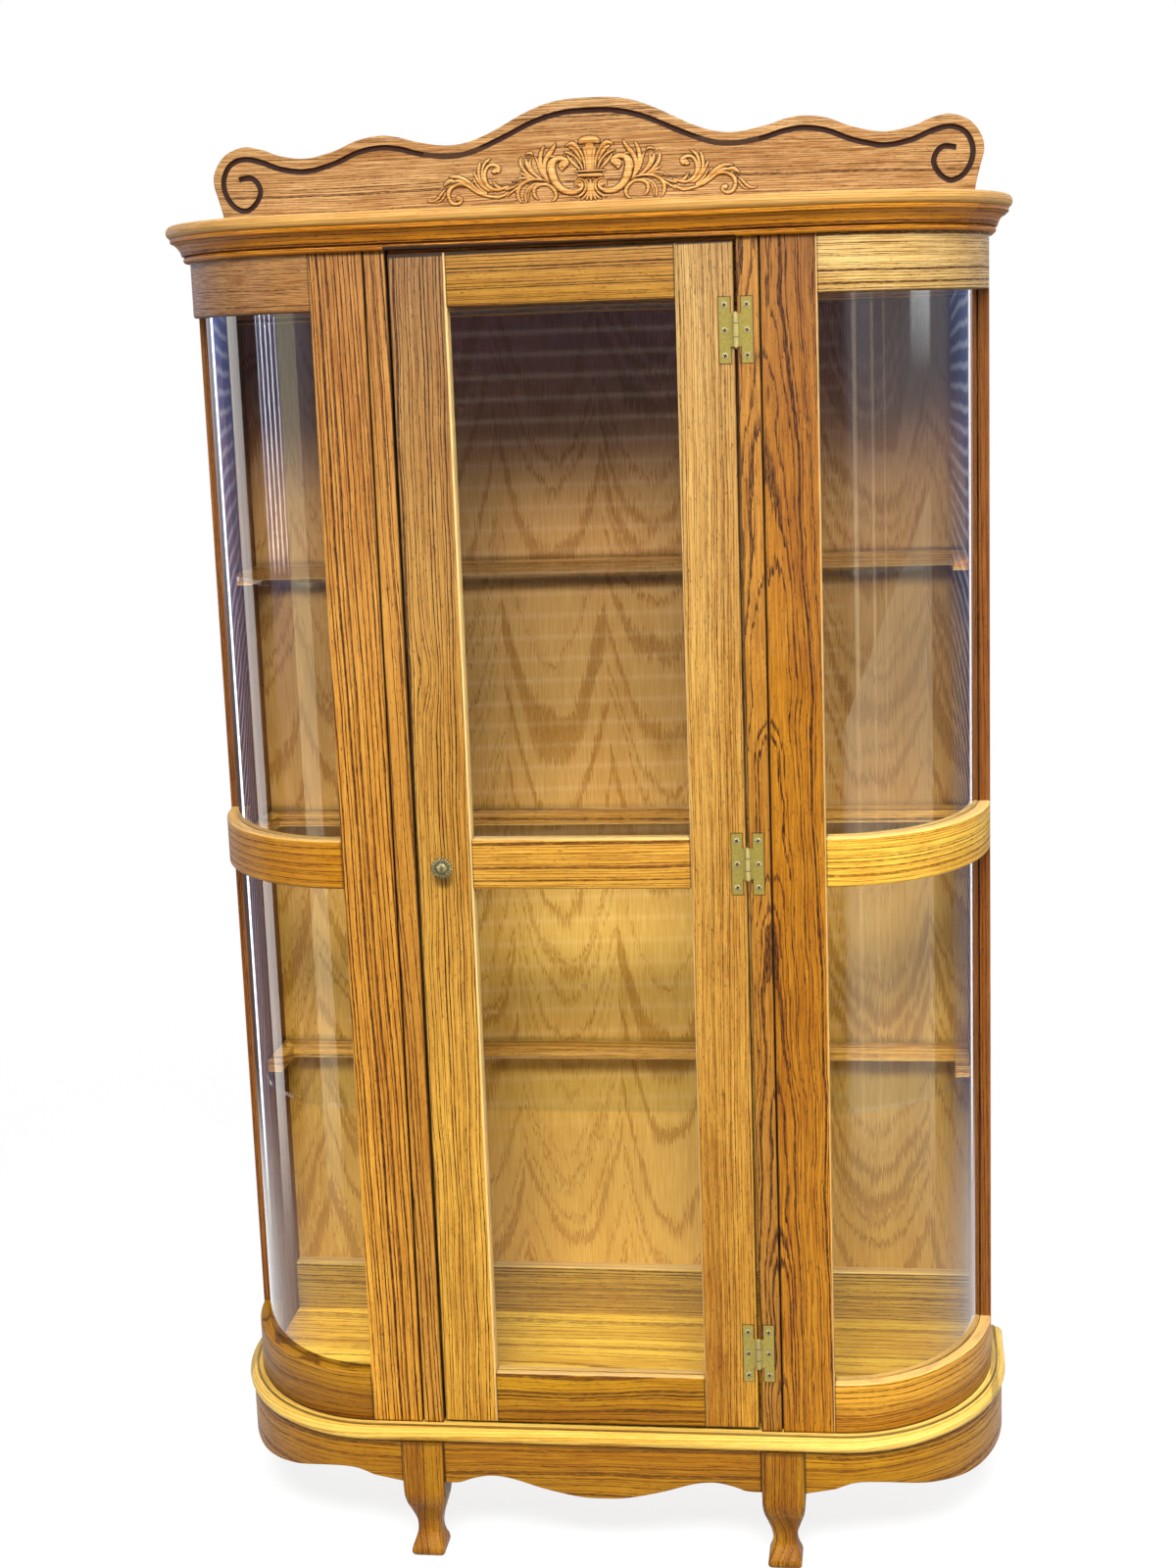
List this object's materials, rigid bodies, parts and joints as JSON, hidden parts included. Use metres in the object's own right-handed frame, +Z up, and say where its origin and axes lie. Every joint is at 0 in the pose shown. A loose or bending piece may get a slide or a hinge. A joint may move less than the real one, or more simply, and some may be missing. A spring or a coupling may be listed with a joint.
{
  "type": "china cabinet",
  "caption": "Bow-front oak china cabinet with a framed glass door, curved glass sides, glass shelves, carved crest board and cabriole front legs.",
  "frame": {"origin": "middle of the footprint, on the floor", "axes": "+Z up, -Y towards the door side, +X towards the hinge side as seen from the front"},
  "size_m": [1.014, 0.349, 1.773],
  "materials": {
    "oak_front": "golden oak, satin lacquer, dark open pores",
    "oak_top": "redder brown oak, satin lacquer",
    "oak_nosing": "pale golden oak, satin lacquer",
    "oak_inside": "oak veneer, thinner lacquer",
    "oak_carving": "carved oak, satin lacquer",
    "glass": "clear, polished",
    "brass": "antiqued brass",
    "catch_plastic": "dark brown moulded case"
  },
  "bodies": {
    "root": {"back_panel": "oak_inside", "back_rail": "oak_inside", "base_board": "oak_nosing", "bottom_hinge_frame_leaf": "brass", "case_top": "oak_inside", "cornice_cap": "oak_nosing", "cornice_front": "oak_top", "cornice_return_left": "oak_top", "cornice_return_right": "oak_top", "crest_board": "oak_top", "crest_carving": "oak_carving", "deck": "oak_inside", "front_apron": "oak_front", "front_leg_left": "oak_front", "front_leg_right": "oak_front", "head_rail": "oak_front", "lower_bow_glass_left": "glass", "lower_bow_glass_right": "glass", "lower_glass_shelf": "glass", "lower_rail_left": "oak_front", "lower_rail_right": "oak_front", "lower_shelf_cleat": "oak_inside", "magnetic_catch": "catch_plastic", "middle_glass_shelf": "glass", "middle_hinge_frame_leaf": "brass", "middle_rail_left": "oak_front", "middle_rail_right": "oak_front", "middle_shelf_cleat": "oak_inside", "narrow_stile_left": "oak_front", "narrow_stile_right": "oak_front", "rear_leg_left": "oak_front", "rear_leg_right": "oak_front", "side_apron_left": "oak_front", "side_apron_right": "oak_front", "side_board_left": "oak_inside", "side_board_right": "oak_inside", "top_back_rail": "oak_inside", "top_hinge_frame_leaf": "brass", "upper_bow_glass_left": "glass", "upper_bow_glass_right": "glass", "upper_glass_shelf": "glass", "upper_rail_left": "oak_top", "upper_rail_right": "oak_top", "upper_shelf_cleat": "oak_inside", "wide_stile_left": "oak_front", "wide_stile_right": "oak_front"},
    "door": {"bottom_hinge_door_leaf": "brass", "catch_plate": "brass", "door_bottom_rail": "oak_front", "door_knob": "brass", "door_lower_glass": "glass", "door_middle_rail": "oak_front", "door_stile_left": "oak_front", "door_stile_right": "oak_front", "door_top_rail": "oak_front", "door_upper_glass": "glass", "middle_hinge_door_leaf": "brass", "top_hinge_door_leaf": "brass"}
  },
  "joints": [
    {"name": "door_swing", "type": "hinge", "parent": "root", "child": "door", "pos_m": [0.195, -0.1512, 0.8825], "axis": [0, 0, 1], "range_deg": [0, 170]}
  ]
}
